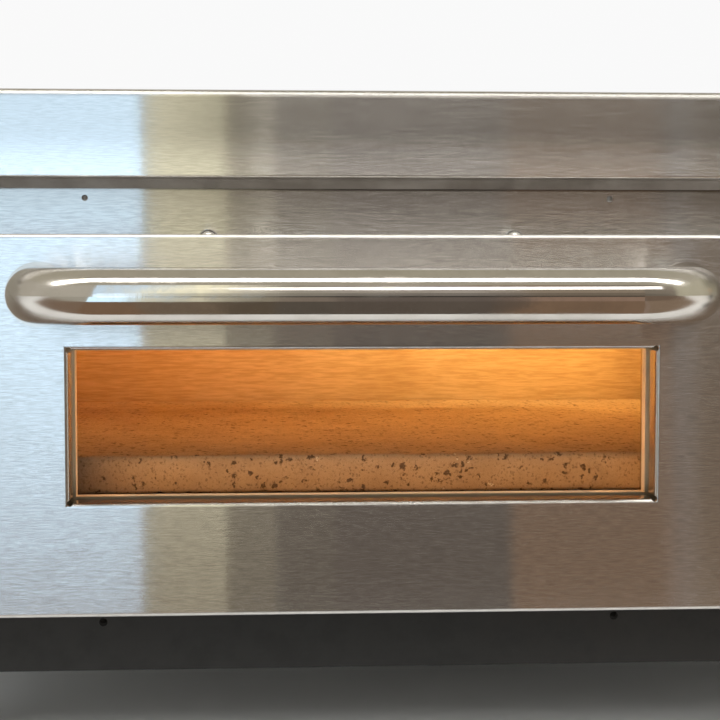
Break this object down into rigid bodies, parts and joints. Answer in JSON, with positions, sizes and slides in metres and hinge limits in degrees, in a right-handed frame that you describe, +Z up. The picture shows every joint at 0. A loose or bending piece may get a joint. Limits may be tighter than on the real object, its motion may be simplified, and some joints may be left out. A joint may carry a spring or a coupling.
{
  "type": "electric pizza oven",
  "caption": "Countertop electric pizza oven in brushed stainless steel: a drop-down glazed door with a tubular handle closes a lit stone-floored baking chamber beside a control panel.",
  "frame": {"origin": "under the middle of the part, on the plane that the feet rest on", "axes": "+X to the right seen from the front, +Y to the back, +Z up; the door faces -Y"},
  "size_m": [0.6744, 0.5407, 0.324],
  "materials": {
    "brushed_stainless": "fine horizontal brush",
    "plated_steel": "bright zinc plate",
    "black_enamel": "satin black",
    "polished_stainless": "polished",
    "chamber_stainless": "brushed, heat tinted",
    "fired_stone": "porous fired clay",
    "element_sheath": "oxidised sheath",
    "probe_brass": "dull",
    "clear_glass": "clear",
    "lamp_bulb_glass": "warm frosted",
    "mineral_wool": "matted fibre",
    "woven_tape": "flat weave",
    "black_rubber": "matte",
    "black_plastic": "fine grain",
    "red_plastic": "translucent red",
    "amber_lens": "translucent amber",
    "white_ceramic": "glazed"
  },
  "bodies": {
    "case": {"base_pan": "plated_steel", "kick_plate": "black_enamel", "left_side_panel": "brushed_stainless", "right_side_panel": "brushed_stainless", "rear_panel": "brushed_stainless", "top_cover": "brushed_stainless", "front_header": "brushed_stainless", "front_posts": "brushed_stainless", "front_sill": "brushed_stainless", "compartment_wall": "plated_steel", "control_panel": "brushed_stainless", "rubber_feet": "black_rubber", "foot_screws": "plated_steel", "case_screws": "plated_steel", "header_rivets": "plated_steel", "door_gasket": "woven_tape", "side_insulation": "mineral_wool", "top_insulation": "mineral_wool", "back_insulation": "mineral_wool", "floor_insulation": "mineral_wool", "chamber_supports": "plated_steel", "chamber_side_walls": "chamber_stainless", "chamber_back_wall": "chamber_stainless", "chamber_roof": "chamber_stainless", "chamber_floor": "chamber_stainless", "stone_rails": "plated_steel", "baking_stone": "fired_stone", "upper_element": "element_sheath", "lower_element": "element_sheath", "element_hangers": "plated_steel", "temperature_probes": "probe_brass", "lamp_socket": "white_ceramic", "lamp_bulb": "lamp_bulb_glass", "lamp_glass": "clear_glass", "lamp_bezel": "polished_stainless", "thermostats": "black_plastic", "switch_bodies": "black_plastic", "pilot_lamps": "amber_lens", "terminal_block": "white_ceramic", "cable_gland": "black_plastic", "hinge_plates": "plated_steel", "hinge_pins": "plated_steel", "door_springs": "plated_steel"},
    "door": {"door_outer_panel": "brushed_stainless", "door_inner_panel": "brushed_stainless", "door_insulation": "mineral_wool", "glass_panes": "clear_glass", "glass_spacer": "plated_steel", "door_handle": "polished_stainless", "handle_collars": "polished_stainless", "handle_bolts": "plated_steel", "door_screws": "plated_steel", "hinge_bushes": "probe_brass", "door_levers": "plated_steel"},
    "upper_control": {"upper_knob": "black_plastic", "upper_spindle": "plated_steel"},
    "lower_control": {"lower_knob": "black_plastic", "lower_spindle": "plated_steel"},
    "power_button": {"power_rocker": "red_plastic"},
    "lamp_button": {"lamp_rocker": "black_plastic"}
  },
  "joints": [
    {"name": "door_hinge", "type": "hinge", "parent": "case", "child": "door", "pos_m": [-0.068, -0.20065, 0.082], "axis": [1, 0, 0], "range_deg": [0, 90], "stiffness_Nm_per_rad": 0.8, "springref_deg": -51.57, "deforming": ["door_springs"]},
    {"name": "upper_knob_turn", "type": "hinge", "parent": "case", "child": "upper_control", "pos_m": [0.2665, -0.18565, 0.215], "axis": [0, 1, 0], "range_deg": [0, 280]},
    {"name": "lower_knob_turn", "type": "hinge", "parent": "case", "child": "lower_control", "pos_m": [0.2665, -0.18565, 0.146], "axis": [0, 1, 0], "range_deg": [0, 280]},
    {"name": "power_rocker_tilt", "type": "hinge", "parent": "case", "child": "power_button", "pos_m": [0.2425, -0.18265, 0.077], "axis": [1, 0, 0], "range_deg": [0, 20]},
    {"name": "lamp_rocker_tilt", "type": "hinge", "parent": "case", "child": "lamp_button", "pos_m": [0.2905, -0.18265, 0.077], "axis": [1, 0, 0], "range_deg": [0, 20]}
  ]
}
